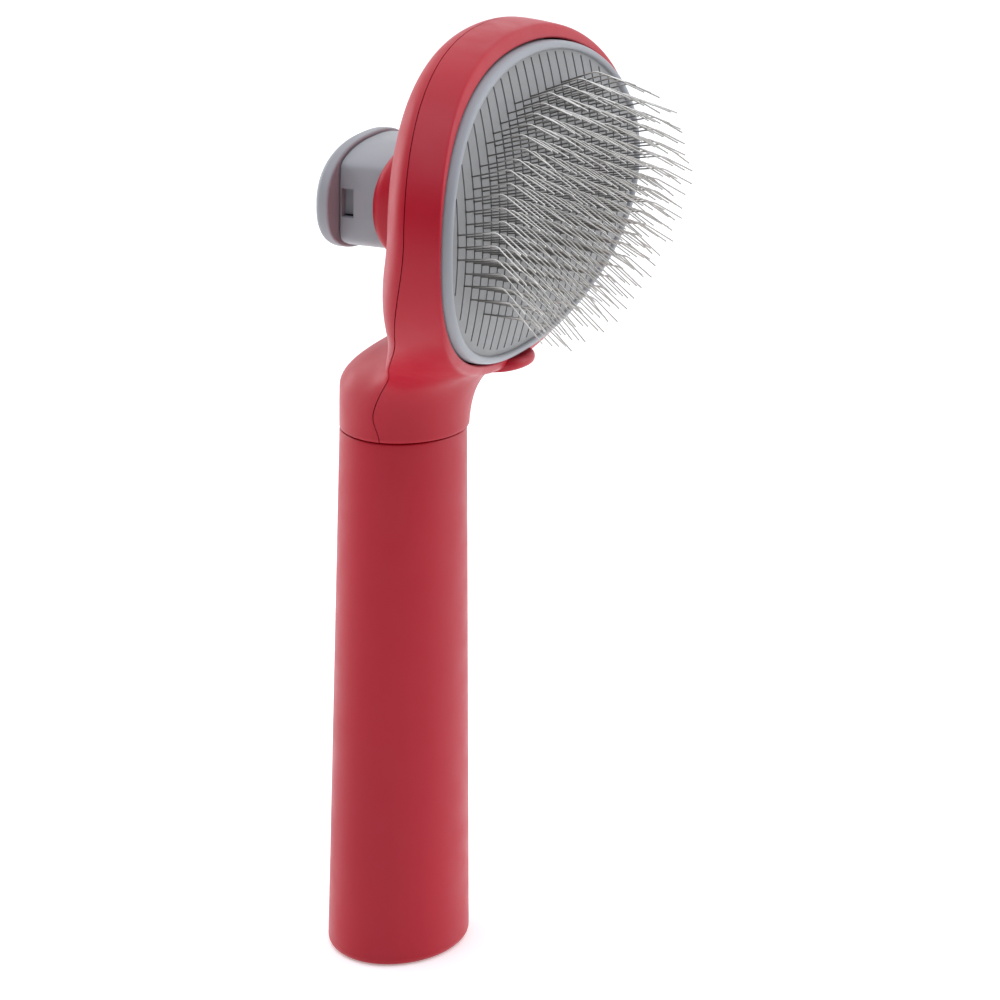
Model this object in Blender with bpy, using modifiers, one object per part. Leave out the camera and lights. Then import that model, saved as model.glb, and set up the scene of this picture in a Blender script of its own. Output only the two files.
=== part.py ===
"""Self-cleaning slicker brush: a wide oval head of fine bent pins on a tapered upright handle.

The pins stand still. Pressing the oval button behind the head slides a slatted face plate forward
along the pins, which pushes the collected hair off them, and a coil spring returns it.

Frame: metres, +Z up along the handle, origin in the middle of the handle's flat bottom. The pins
point to -Y and the button to +Y. Every piece is drawn at rest: button out, face plate home.
"""

import math

import bmesh
import bpy
import numpy as np
from mathutils import Matrix, Vector

MM = 0.001
GAP = 0.3 * MM  # left between neighbouring pieces

# Handle
HANDLE_LENGTH = 116.5 * MM
HANDLE_FOOT = (18.5 * MM, 14.8 * MM)  # half width and half depth at the bottom
HANDLE_TOP = (15.3 * MM, 13.1 * MM)
HANDLE_WALL = 2.4 * MM
HANDLE_FLOOR = 3.0 * MM
FOOT_ROUND = 1.6 * MM

# Spigot of the head inside the handle
JOINT_Z = HANDLE_LENGTH + GAP
SPIGOT = (12.3 * MM, 10.1 * MM)
SPIGOT_LENGTH = 21.0 * MM
SPIGOT_PLAY = 0.35 * MM

# Neck
SHOULDER_Z = (125.7 * MM, 150.2 * MM)  # the thumb rest leans forward between these heights
SHOULDER_LEAN = 26.4 * MM
NECK_SWELL = 0.005  # how the front of the neck runs out towards the face
NECK_SWELL_POWER = 2.303
NECK_FADE_Z = (142.0 * MM, 162.0 * MM)  # inside the head the neck ends between these heights

# Head
HEAD_Z = 168.0 * MM
HEAD_HALF = (54.2 * MM, 35.5 * MM)
HEAD_LOW_HALF = 36.5 * MM  # the lower half of the head runs a little further down, into the neck
HEAD_DEPTH = 8.1 * MM  # from the front of the slats back to the widest outline, which curves as the face does
HEAD_CROWN = 13.4 * MM  # how far the back bulges behind the widest outline
LOW_CROWN = 0.5  # the share of it that is left at the bottom of the head
CROWN_Z = (134.0 * MM, 162.0 * MM)
OVAL_POWER = 2.13  # a little squarer than an ellipse
LIP_SETBACK = 0.6 * MM  # the rim of the opening lies this far behind the front of the slats
LIP_SQUARENESS = 40
RIM_TAPER = 0.8 * MM
RIM_TAPER_POWER = 1.6
SHELL_WALL = 2.2 * MM
SEAM_RISE_Z = (120.0 * MM, 148.0 * MM)  # the seam and widest outline run forward from the handle's middle
SEAM_RISE = 0.82  # this share of the way between these heights
SEAM_LATE_Z = (140.0 * MM, 170.0 * MM)  # and the rest between these
SEAM_FOOT_Z = (116.8 * MM, 123.0 * MM)
SEAM_FOOT = 1.5 * MM  # a small kink where the seam meets the handle
RING_CORNER = 9.0 * MM  # how strongly the points of a section crowd into its bends

# Face plate
FACE_Y = -31.6 * MM  # front of the slats at the middle of the dome
DOME_RADIUS = 103.4 * MM
DOME_Z = 167.7 * MM
FACE_Z = 167.6 * MM
RING_HALF = (52.4 * MM, 31.8 * MM)
SKIRT_WALL = 1.3 * MM
SKIRT_DEPTH = 9.5 * MM  # from the front of the slats to the back of the ring's skirt
OPENING_DEPTH = 10.0 * MM
RING_PLAY = 0.35 * MM
SLAT_THICKNESS = 1.8 * MM
SLIT_COUNT = 23
SLIT_PITCH = 4.235 * MM
SLIT_WIDTH = 0.8 * MM
SLIT_HALF = (48.8 * MM, 29.0 * MM)

# Pins
PIN_SIDES = 3
PIN_RADIUS = 0.24 * MM
PIN_PITCH = 2.45 * MM
PIN_MARGIN = 6.4 * MM  # from the end of a slit to the nearest pin in it
PIN_LOWER = 8.1 * MM  # from the slats to the bend
PIN_UPPER = 7.9 * MM  # from the bend to the tip
PIN_LIFT = math.radians(9.0)
PIN_BEND = math.radians(39.0)
PIN_SPLAY = math.radians(22.0)  # sideways lean of the upper part at the ends of the face
CROWN_SHEET_DEPTH = 2.4 * MM  # from the front of the slats to the front of the crown sheet
CROWN_SHEET = 0.6 * MM
PAD = 1.2 * MM
CARRIER = 2.5 * MM
BED_HALF = (49.0 * MM, 29.0 * MM)

# Plunger and button
KNOB_Z = 167.0 * MM
KNOB_POWER = 2.4
KNOB_BODY = (21.0 * MM, 10.9 * MM)
KNOB_FLAT = 16.3 * MM  # the body is cut flat at this half width
KNOB_CAP = (21.7 * MM, 11.5 * MM)
CAP_FRONT_Y = 7.6 * MM
CAP_THICKNESS = 3.0 * MM
PLUNGER_WALL = 1.8 * MM
PLUNGER_FLANGE = (21.0 * MM, 14.5 * MM)
PLUNGER_FLANGE_Y = (-15.0 * MM, -13.5 * MM)
PLUNGER_WEB_Y = (1.5 * MM, 3.2 * MM)
WINDOW = (3.2 * MM, 6.0 * MM)  # depth along Y and height
LEG = (2.2 * MM, 8.0 * MM)
LEG_COLUMN = 4.5  # the legs stand half way between two slits
LEG_RISE = 9.0 * MM
BOSS_HALF = (20.0 * MM, 13.4 * MM)
BOSS_POWER = 2.6
BOSS_BASE_Y = -12.4 * MM  # inside the shell's wall
BOSS_RIM_Y = -0.5 * MM
BOSS_FLARES = (
    (3.4, 0.0),
    (2.3, 0.2),
    (1.0, 0.37),
    (0.3, 0.54),
    (0.0, 0.72),
    (-0.7, 0.87),
    (-2.0, 0.96),
    (-6.0, 1.0),
)
BOSS_DROP = 3.4 * MM  # the rim falls away above and below, as a dome does

# Return spring
SPRING_RADIUS = 6.0 * MM
SPRING_WIRE = 0.5 * MM
SPRING_TURNS = 7
SPRING_SEAT_WALL = 1.4 * MM

# Screws
SCREW_SHANK = 1.1 * MM
SCREW_HEAD = 2.3 * MM
SCREW_HEAD_DEPTH = 1.2 * MM
CARRIER_SCREWS = ((30.0, 14.0), (30.0, -14.0), (43.5, 0.0))  # millimetres from the head's middle, one side
SCREW_END_SPARE = 0.9 * MM
SHANK_HOLE = SCREW_SHANK + 0.3 * MM
HEAD_HOLE = SCREW_HEAD + 0.3 * MM
CARRIER_COUNTERBORE = 1.2 * MM
PILLAR_RADIUS = 2.6 * MM
PILLAR_ROOT = 1.2 * MM  # how far the posts reach into the shell's wall
SPIGOT_SCREW_Z = (101.5 * MM, 109.5 * MM)

# Finger rest under the face
REST_HALF_WIDTH = 6.5 * MM
REST_Y = (-19.0 * MM, -28.8 * MM)  # root and tip
REST_TOP_Z = 135.3 * MM
REST_LOW_Z = (131.4 * MM, 132.9 * MM)  # its underside at root and tip
REST_EDGE = 0.9 * MM

RED = (0.42, 0.022, 0.040)
PALE_GREY = (0.42, 0.43, 0.52)
SLAT_GREY = (0.33, 0.33, 0.34)
DARK_GREY = (0.08, 0.08, 0.085)
STEEL = (0.60, 0.59, 0.57)


def clear_scene():
    for item in list(bpy.data.objects):
        bpy.data.objects.remove(item, do_unlink=True)


def collection(name):
    found = bpy.data.collections.new(name)
    bpy.context.scene.collection.children.link(found)
    return found


def plastic(name, colour, roughness=0.42):
    material = bpy.data.materials.new(name)
    material.use_nodes = True
    shader = material.node_tree.nodes["Principled BSDF"]
    shader.inputs["Base Color"].default_value = (*colour, 1.0)
    shader.inputs["Roughness"].default_value = roughness
    return material


def metal(name, colour, roughness=0.28):
    material = plastic(name, colour, roughness)
    material.node_tree.nodes["Principled BSDF"].inputs["Metallic"].default_value = 1.0
    return material


# Shapes


def oval_point(half, power, angle):
    """A point of the superellipse with these half sizes."""
    cosine, sine = math.cos(angle), math.sin(angle)
    across = half[0] * math.copysign(abs(cosine) ** (2 / power), cosine)
    along = half[1] * math.copysign(abs(sine) ** (2 / power), sine)
    return across, along


def oval_half_width(half, power, height):
    """Half the width of the superellipse at this height over its middle."""
    share = max(0.0, 1.0 - abs(height / half[1]) ** power)
    return half[0] * share ** (1 / power)


def oval_value(half, power, across, along):
    """1 on the superellipse, less inside it."""
    return (abs(across / half[0]) ** power + abs(along / half[1]) ** power) ** (1 / power)


def smooth_step(start, end, value):
    share = min(1.0, max(0.0, (value - start) / (end - start)))
    return share * share * (3.0 - 2.0 * share)


def blend(start, end, share):
    return start + (end - start) * share


def dome_y(depth, z):
    """A surface this far behind the front of the slats, at height z."""
    return FACE_Y + depth + (z - DOME_Z) ** 2 / (2 * DOME_RADIUS)


def turns(count):
    return [2 * math.pi * step / count for step in range(count)]


def loft(rings, closed=False):
    """A bmesh through rings with the same number of points, capped at both ends unless closed."""
    shape = bmesh.new()
    loops = [[shape.verts.new(point) for point in ring] for ring in rings]
    pairs = list(zip(loops, loops[1:]))
    if closed:
        pairs.append((loops[-1], loops[0]))
    for low, high in pairs:
        for step in range(len(low)):
            after = (step + 1) % len(low)
            shape.faces.new((low[step], low[after], high[after], high[step]))
    if not closed:
        shape.faces.new(loops[0][::-1])
        shape.faces.new(loops[-1])
    bmesh.ops.recalc_face_normals(shape, faces=shape.faces)
    return shape


def add(name, shape, material, group):
    mesh = bpy.data.meshes.new(name)
    shape.to_mesh(mesh)
    shape.free()
    item = bpy.data.objects.new(name, mesh)
    group.objects.link(item)
    if material:
        mesh.materials.append(material)
    return item


def smooth(item, degrees=35.0):
    item.data.shade_smooth()
    item.data.set_sharp_from_angle(angle=math.radians(degrees))
    return item


def helper(name, shape):
    """A solid that only cuts or joins another, kept out of the render."""
    item = add(name, shape, None, bpy.data.collections["cutters"])
    item.hide_render = True
    item.display_type = "WIRE"
    return item


def boolean(target, other, operation):
    step = target.modifiers.new(other.name, "BOOLEAN")
    step.operation = operation
    step.solver = "EXACT"
    step.object = other


def bake(item):
    """Turns the object's modifiers into its mesh, so that it can be cut again as one solid."""
    bpy.context.view_layer.update()
    graph = bpy.context.evaluated_depsgraph_get()
    item.data = bpy.data.meshes.new_from_object(item.evaluated_get(graph))
    item.modifiers.clear()
    return item


def block(low, high):
    shape = bmesh.new()
    bmesh.ops.create_cube(shape, size=1.0)
    low, high = Vector(low), Vector(high)
    bmesh.ops.scale(shape, vec=high - low, verts=shape.verts)
    bmesh.ops.translate(shape, vec=(low + high) / 2, verts=shape.verts)
    return shape


def rod(radius, start_y, end_y, x, z, sides=12):
    """A cylinder along Y."""
    shape = bmesh.new()
    place = Matrix.Translation((x, (start_y + end_y) / 2, z)) @ Matrix.Rotation(math.pi / 2, 4, "X")
    bmesh.ops.create_cone(
        shape,
        cap_ends=True,
        segments=sides,
        radius1=radius,
        radius2=radius,
        depth=end_y - start_y,
        matrix=place,
    )
    return shape


def joined(shapes):
    """Several separate solids in one bmesh."""
    whole = bmesh.new()
    for shape in shapes:
        mesh = bpy.data.meshes.new("joined")
        shape.to_mesh(mesh)
        shape.free()
        whole.from_mesh(mesh)
        bpy.data.meshes.remove(mesh)
    return whole


def oval_prism(half, power, start_y, end_y, centre_z, count=40):
    rings = []
    for y in (start_y, end_y):
        ring = [oval_point(half, power, angle) for angle in turns(count)]
        rings.append([(x, y, centre_z + z) for x, z in ring])
    return loft(rings)


def domed_plate(half, depth, thickness, count=17, centre_z=HEAD_Z):
    """An oval plate that follows the dome, this far behind the front of the slats."""
    rings = []
    for step in range(count):
        height = half[1] * math.sin(math.radians(86.0) * (2 * step / (count - 1) - 1))
        width = oval_half_width(half, OVAL_POWER, height)
        z = centre_z + height
        front, back = dome_y(depth, z), dome_y(depth + thickness, z)
        rings.append([(-width, front, z), (width, front, z), (width, back, z), (-width, back, z)])
    return loft(rings)


def screw(name, length, x, y, z, facing, material, group):
    """A pan-head screw with its head's underside at y, pointing to +Y or -Y."""
    profile = (
        (0.0, SCREW_HEAD_DEPTH),
        (0.75 * SCREW_HEAD, SCREW_HEAD_DEPTH),
        (SCREW_HEAD, 0.6 * SCREW_HEAD_DEPTH),
        (SCREW_HEAD, 0.0),
        (SCREW_SHANK, 0.0),
        (SCREW_SHANK, -length + SCREW_SHANK),
        (0.0, -length),
    )
    shape = bmesh.new()
    points = [shape.verts.new((radius, 0.0, height)) for radius, height in profile]
    for upper, lower in zip(points, points[1:]):
        shape.edges.new((upper, lower))
    item = add(name, shape, material, group)
    turn = item.modifiers.new("turn", "SCREW")
    turn.axis = "Z"
    turn.steps = turn.render_steps = 10
    turn.use_merge_vertices = True
    turn.merge_threshold = 0.00001
    item.rotation_euler = (facing * math.pi / 2, 0.0, 0.0)
    item.location = (x, y, z)
    return item


# Handle


def handle_half(z):
    share = z / HANDLE_LENGTH
    return tuple(blend(foot, top, share) for foot, top in zip(HANDLE_FOOT, HANDLE_TOP))


def oval_ring(half, z, count=32):
    return [(half[0] * math.cos(angle), half[1] * math.sin(angle), z) for angle in turns(count)]


def inset(half, amount):
    return half[0] - amount, half[1] - amount


def make_handle(material, group):
    """A tapered oval sleeve, closed at the bottom, with a socket for the spigot at the top."""
    rings = []
    for step in range(4):
        angle = math.radians(30 * step)
        cut = FOOT_ROUND * (1 - math.sin(angle))
        z = FOOT_ROUND * (1 - math.cos(angle))
        rings.append(oval_ring(inset(handle_half(z), cut), z))
    rings.append(oval_ring(handle_half(HANDLE_LENGTH), HANDLE_LENGTH))
    socket = inset(SPIGOT, -SPIGOT_PLAY)
    socket_z = JOINT_Z - SPIGOT_LENGTH - 2 * MM
    rings.append(oval_ring(socket, HANDLE_LENGTH))
    rings.append(oval_ring(socket, socket_z))
    rings.append(oval_ring(inset(handle_half(HANDLE_FLOOR), HANDLE_WALL), HANDLE_FLOOR))
    return smooth(add("handle", loft(rings), material, group))


# Head shells


def neck_value(x, y, z, wall):
    """The neck runs out to the face in front, and behind it leans forward under the head as a thumb rest."""
    swell = NECK_SWELL * MM * (max(0.0, z - JOINT_Z) / MM) ** NECK_SWELL_POWER
    front = max(lip_y(z), -HANDLE_TOP[1] - swell)
    rear = HANDLE_TOP[1] - SHOULDER_LEAN * smooth_step(*SHOULDER_Z, z)
    middle = (front + rear) / 2
    depth = max(0.5 * MM, (rear - front) / 2 - wall)
    fade = max(0.01, 1.0 - smooth_step(*NECK_FADE_Z, z))
    return np.hypot(x / (HANDLE_TOP[0] - wall), (y - middle) / depth) / fade


def lip_y(z):
    return dome_y(LIP_SETBACK, z)


def seam_y(z):
    """The widest outline: parallel to the face above, and bent back to the handle's middle below."""
    rise = SEAM_RISE * smooth_step(*SEAM_RISE_Z, z) + (1 - SEAM_RISE) * smooth_step(*SEAM_LATE_Z, z)
    return dome_y(HEAD_DEPTH, z) * rise - SEAM_FOOT * (1.0 - smooth_step(*SEAM_FOOT_Z, z))


def crown_depth(z):
    return HEAD_CROWN * blend(LOW_CROWN, 1.0, smooth_step(*CROWN_Z, z))


def head_value(x, y, z, wall):
    behind = y - seam_y(z)
    depth = seam_y(z) - lip_y(z)
    front = np.clip(-behind / depth, 0.0, 1.0)
    taper = RIM_TAPER * front**RIM_TAPER_POWER + wall
    fuller = (HEAD_LOW_HALF - HEAD_HALF[1]) * (1.0 - front**RIM_TAPER_POWER) if z < HEAD_Z else 0.0
    outline = oval_value((HEAD_HALF[0] - taper, HEAD_HALF[1] + fuller - taper), OVAL_POWER, x, z - HEAD_Z)
    ahead = np.abs(np.minimum(behind, 0.0) / (depth - wall))
    before = (outline**LIP_SQUARENESS + ahead**LIP_SQUARENESS) ** (1 / LIP_SQUARENESS)
    after = np.hypot(outline, np.maximum(behind, 0.0) / (crown_depth(z) - wall))
    return np.where(behind < 0, before, after)


def body_value(x, y, z, wall):
    """1 on the surface of neck and head run together, less inside."""
    return (neck_value(x, y, z, wall) ** -5 + head_value(x, y, z, wall) ** -5) ** (-1 / 5)


def spread(outline, count, corner):
    """The closed outline with this many points, closer together where it bends."""
    ahead = np.roll(outline, -1, axis=0) - outline
    heading = np.arctan2(ahead[:, 1], ahead[:, 0])
    bend = np.abs((np.roll(heading, -1) - heading + math.pi) % (2 * math.pi) - math.pi)
    weight = np.hypot(ahead[:, 0], ahead[:, 1]) + corner * (bend + np.roll(bend, 1)) / 2
    measure = np.concatenate([[0.0], np.cumsum(weight)])
    targets = np.linspace(0.0, measure[-1], count, endpoint=False)
    looped = np.vstack([outline, outline[:1]])
    return np.stack([np.interp(targets, measure, looped[:, axis]) for axis in (0, 1)], axis=1)


def body_ring(z, wall, count):
    """The neck and head cut at height z: rays from a middle point, each ended where it meets the surface."""
    low_half = HEAD_LOW_HALF if z < HEAD_Z else HEAD_HALF[1]
    wide = max(HANDLE_TOP[0], oval_half_width((HEAD_HALF[0], low_half), OVAL_POWER, z - HEAD_Z))
    angle = np.linspace(-math.pi / 2, 1.5 * math.pi, 720, endpoint=False)
    x, y = wide * np.cos(angle), HANDLE_TOP[1] * np.sin(angle)
    inside, outside = np.zeros_like(angle), np.full_like(angle, 3.0)
    for _ in range(30):
        half_way = (inside + outside) / 2
        within = body_value(x * half_way, seam_y(z) + y * half_way, z, wall) < 1.0
        inside = np.where(within, half_way, inside)
        outside = np.where(within, outside, half_way)
    outline = np.stack([x * inside, np.maximum(lip_y(z) + wall, seam_y(z) + y * inside)], axis=1)
    return [(x, y, z) for x, y in spread(outline, count, RING_CORNER)]


def body_heights(start, wall, neck_steps, head_steps):
    """Heights of the rings, closer together towards the top of the head."""
    low = HEAD_Z + (HEAD_HALF[1] - wall) * math.sin(math.radians(-50))
    heights = [blend(start, low, step / neck_steps) for step in range(neck_steps)]
    for step in range(head_steps + 1):
        angle = math.radians(blend(-50, 86, step / head_steps))
        heights.append(HEAD_Z + (HEAD_HALF[1] - wall) * math.sin(angle))
    return heights


def spigot_ring(cut, z, count):
    """An oval that starts at the front, as the sections of the neck do."""
    ring = oval_ring(inset(SPIGOT, cut), z, count)
    start = count * 3 // 4
    return ring[start:] + ring[:start]


def head_body():
    """Neck, head and spigot as one solid, before it is hollowed and split."""
    count = 48
    rings = [
        spigot_ring(1.0 * MM, JOINT_Z - SPIGOT_LENGTH, count),
        spigot_ring(0.0, JOINT_Z - SPIGOT_LENGTH + 1.5 * MM, count),
        spigot_ring(0.0, JOINT_Z, count),
    ]
    rings += [body_ring(z, 0.0, count) for z in body_heights(JOINT_Z, 0.0, 12, 20)]
    return loft(rings)


def head_hollow():
    count = 32
    rings = [body_ring(z, SHELL_WALL, count) for z in body_heights(JOINT_Z + 3 * MM, SHELL_WALL, 8, 13)]
    return loft(rings)


def front_half(shift):
    """Everything in front of the parting surface, moved back by shift."""
    far_x, far_y = 80 * MM, -80 * MM
    steps = 30
    heights = [80 * MM] + [blend(JOINT_Z, 206 * MM, step / steps) for step in range(steps + 1)]
    rings = []
    for z in heights:
        y = seam_y(z) + shift
        rings.append([(-far_x, far_y, z), (far_x, far_y, z), (far_x, y, z), (-far_x, y, z)])
    return loft(rings)


def knob_outline(half, flat, grow=0.0, count=40):
    """The button's oval, cut flat at both ends where flat is given."""
    points = []
    for angle in turns(count):
        x, z = oval_point(inset(half, -grow), KNOB_POWER, angle)
        limit = flat + grow if flat else half[0] + grow
        points.append((max(-limit, min(limit, x)), z))
    return points


def knob_prism(half, flat, start_y, end_y, grow=0.0):
    outline = knob_outline(half, flat, grow)
    return loft([[(x, y, KNOB_Z + z) for x, z in outline] for y in (start_y, end_y)])


def boss_shape():
    """The domed collar that guides the button, flared where it leaves the head."""
    rings = []
    for flare, share in BOSS_FLARES:
        ring = []
        for angle in turns(32):
            x, z = oval_point(inset(BOSS_HALF, -flare * MM), BOSS_POWER, angle)
            drop = share * BOSS_DROP * (z / BOSS_HALF[1]) ** 2
            ring.append((x, blend(BOSS_BASE_Y, BOSS_RIM_Y, share) - drop, KNOB_Z + z))
        rings.append(ring)
    return loft(rings)


def finger_rest():
    """A tongue under the face, with a rounded tip, softened edges and an underside that rises forward."""
    root_y, tip_y = REST_Y
    bar = [(-REST_HALF_WIDTH, root_y), (REST_HALF_WIDTH, root_y)]
    for step in range(11):
        angle = math.radians(180 * step / 10)
        bar.append((REST_HALF_WIDTH * math.cos(angle), tip_y + REST_HALF_WIDTH * 0.6 * (1 - math.sin(angle))))
    rings = []
    for cut, share in ((1.0, 0.0), (0.3, 0.09), (0.0, 0.3), (0.0, 0.7), (0.3, 0.91), (1.0, 1.0)):
        shrink = 1 - cut * REST_EDGE / REST_HALF_WIDTH
        ring = []
        for x, y in bar:
            out = (root_y - y) / (root_y - tip_y)
            low = blend(*REST_LOW_Z, out)
            ring.append((x * shrink, y + cut * REST_EDGE * out, blend(low, REST_TOP_Z, share)))
        rings.append(ring)
    return loft(rings)


def screw_places():
    for x, z in CARRIER_SCREWS:
        yield x * MM, HEAD_Z + z * MM
        yield -x * MM, HEAD_Z + z * MM


def carrier_back_y(z):
    return dome_y(CROWN_SHEET_DEPTH + CROWN_SHEET + PAD + 2 * GAP + CARRIER, z)


def inner_back_y(x, z):
    """The inside of the shell's back."""
    outline = oval_value(inset(HEAD_HALF, SHELL_WALL), OVAL_POWER, x, z - HEAD_Z)
    return seam_y(z) + (crown_depth(z) - SHELL_WALL) * math.sqrt(1.0 - outline**2)


def pillar(x, z):
    """A post from the inside of the shell's back to the carrier."""
    outer_z = z + math.copysign(PILLAR_RADIUS, z - HEAD_Z)
    return rod(PILLAR_RADIUS, carrier_back_y(outer_z) + GAP, inner_back_y(x, z) + PILLAR_ROOT, x, z)


def carrier_screw_end(x, z):
    return inner_back_y(x, z) - SCREW_END_SPARE


def face_opening():
    """The room that the ring slides in, with a back that curves as the face does."""
    rings = []
    for depth in (-20 * MM, OPENING_DEPTH):
        ring = []
        for angle in turns(64):
            x, z = oval_point(inset(RING_HALF, -RING_PLAY), OVAL_POWER, angle)
            ring.append((x, dome_y(depth, FACE_Z + z), FACE_Z + z))
        rings.append(ring)
    return loft(rings)


def make_head_shells(material, group):
    body = helper("head_body", head_body())
    hollow = helper("head_hollow", head_hollow())
    opening = helper("face_opening", face_opening())
    boolean(body, hollow, "DIFFERENCE")
    bake(body)

    front = add("head_front_shell", bmesh.new(), material, group)
    front.data = body.data.copy()
    front.data.materials.append(material)
    boolean(front, helper("front_keep", front_half(-GAP / 2)), "INTERSECT")
    boolean(front, opening, "DIFFERENCE")
    boolean(front, helper("finger_rest", finger_rest()), "UNION")
    pilots = [rod(SHANK_HOLE, -7 * MM, 2 * MM, 0, z) for z in SPIGOT_SCREW_Z]
    boolean(front, helper("spigot_pilots", joined(pilots)), "DIFFERENCE")

    rear = add("head_rear_shell", bmesh.new(), material, group)
    rear.data = body.data.copy()
    rear.data.materials.append(material)
    boolean(rear, helper("rear_cut", front_half(GAP / 2)), "DIFFERENCE")
    boolean(rear, opening, "DIFFERENCE")
    boolean(rear, helper("boss", boss_shape()), "UNION")
    boolean(rear, helper("carrier_pillars", joined([pillar(x, z) for x, z in screw_places()])), "UNION")
    bake(rear)
    passage = knob_prism(KNOB_BODY, KNOB_FLAT, -24 * MM, 5 * MM, SPIGOT_PLAY)
    boolean(rear, helper("button_passage", passage), "DIFFERENCE")
    holes = [rod(SHANK_HOLE, -30 * MM, carrier_screw_end(x, z) + GAP, x, z, 8) for x, z in screw_places()]
    boolean(rear, helper("pillar_holes", joined(holes)), "DIFFERENCE")
    seats = []
    for z in SPIGOT_SCREW_Z:
        seats.append(rod(HEAD_HOLE, SPIGOT[1] - 2.2 * MM, SPIGOT[1] + 2 * MM, 0, z))
        seats.append(rod(SHANK_HOLE, -4 * MM, SPIGOT[1] - 1.5 * MM, 0, z))
    for step, seat in enumerate(seats):
        boolean(rear, helper(f"spigot_seat_{step}", seat), "DIFFERENCE")
    return smooth(bake(front)), smooth(bake(rear))


# Face plate


def make_face_ring(material, group):
    """The raised rim round the slats, with a skirt that slides inside the front shell."""
    profile = (
        (0.0, 0.9),
        (0.1, -0.2),
        (0.45, -0.75),
        (0.9, -0.95),
        (1.35, -0.8),
        (1.75, -0.3),
        (1.3, -0.3),
    )
    rings = []
    for angle in turns(56):
        ring = []
        for cut, depth in profile:
            x, z = oval_point(inset(RING_HALF, cut * MM), OVAL_POWER, angle)
            ring.append((x, dome_y(depth * MM, FACE_Z + z), FACE_Z + z))
        for cut in (SKIRT_WALL, 0.0):
            x, z = oval_point(inset(RING_HALF, cut), OVAL_POWER, angle)
            ring.append((x, dome_y(SKIRT_DEPTH, FACE_Z + z), FACE_Z + z))
        rings.append(ring)
    return smooth(add("face_ring", loft(rings, closed=True), material, group))


def slit_columns():
    middle = (SLIT_COUNT - 1) / 2
    return [(column - middle) * SLIT_PITCH for column in range(SLIT_COUNT)]


def slit_reach(x):
    """Half the length of the slit that stands at x."""
    return SLIT_HALF[1] * (1 - abs(x / SLIT_HALF[0]) ** OVAL_POWER) ** (1 / OVAL_POWER)


def make_slat_plate(material, group):
    """The domed plate, cut into slats by upright slits that the pins stand in."""
    half = inset(RING_HALF, SKIRT_WALL + GAP)
    plate = add("slat_plate", domed_plate(half, 0.0, SLAT_THICKNESS, 11, FACE_Z), material, group)
    slits = []
    for x in slit_columns():
        low = (x - SLIT_WIDTH / 2, -40 * MM, HEAD_Z - slit_reach(x))
        high = (x + SLIT_WIDTH / 2, -20 * MM, HEAD_Z + slit_reach(x))
        slits.append(block(low, high))
    boolean(plate, helper("slits", joined(slits)), "DIFFERENCE")
    return plate


# Pins


def pin_roots():
    """Where each pin meets the slats: columns at the slits, every other one half a pitch higher."""
    for column, x in enumerate(slit_columns()):
        reach = slit_reach(x) - PIN_MARGIN
        offset = PIN_PITCH / 2 if column % 2 else 0.0
        first = math.ceil((-reach - offset) / PIN_PITCH)
        last = math.floor((reach - offset) / PIN_PITCH)
        for row in range(first, last + 1):
            yield x, HEAD_Z + row * PIN_PITCH + offset


def pin_path(x, z):
    """Root, bend and tip. The lower part leans up a little. The upper part hangs, and spreads to the sides."""
    lean = math.asin((z - DOME_Z) / DOME_RADIUS) + PIN_LIFT
    hang = lean - PIN_BEND
    splay = PIN_SPLAY * x / RING_HALF[0]
    out = Vector((0.0, -math.cos(lean), math.sin(lean)))
    down = Vector((math.sin(splay), -math.cos(splay) * math.cos(hang), math.cos(splay) * math.sin(hang)))
    surface = Vector((x, dome_y(0.0, z), z))
    root = surface - out * (CROWN_SHEET_DEPTH + CROWN_SHEET / 2)
    bend = surface + out * PIN_LOWER
    return root, bend, bend + down * PIN_UPPER


def pin_shape(x, z):
    root, bend, tip = pin_path(x, z)
    rings = []
    for point in (root, bend, tip):
        ring = []
        for angle in turns(PIN_SIDES):
            side = PIN_RADIUS * math.cos(angle)
            up = PIN_RADIUS * math.sin(angle)
            ring.append(point + Vector((side, 0.0, up)))
        rings.append(ring)
    return loft(rings)


def make_pins(material, group):
    """All the wires, with their crowns drawn as one thin sheet that ties them together."""
    sheet = add("pins", domed_plate(BED_HALF, CROWN_SHEET_DEPTH, CROWN_SHEET), material, group)
    cut_legs(sheet)
    wires = helper("wires", joined([pin_shape(x, z) for x, z in pin_roots()]))
    boolean(sheet, wires, "UNION")
    return sheet


# Pad and carrier behind the pins


def leg_places():
    for side in (-1, 1):
        for rise in (-1, 1):
            yield side * LEG_COLUMN * SLIT_PITCH, HEAD_Z + rise * LEG_RISE


def leg_box(x, z, start_y, end_y, grow=0.0):
    half_x, half_z = LEG[0] / 2 + grow, LEG[1] / 2 + grow
    return block((x - half_x, start_y, z - half_z), (x + half_x, end_y, z + half_z))


def cut_legs(item):
    """Slots that the plunger's legs slide through."""
    boxes = [leg_box(x, z, -35 * MM, -16 * MM, GAP) for x, z in leg_places()]
    boolean(item, helper(f"{item.name}_slots", joined(boxes)), "DIFFERENCE")


def make_pad(material, group):
    depth = CROWN_SHEET_DEPTH + CROWN_SHEET + GAP
    pad = add("pin_pad", domed_plate(BED_HALF, depth, PAD), material, group)
    cut_legs(pad)
    return pad


def spring_seat_y():
    """The flat that the spring's front end bears on."""
    return carrier_back_y(DOME_Z) + 0.2 * MM


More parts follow.
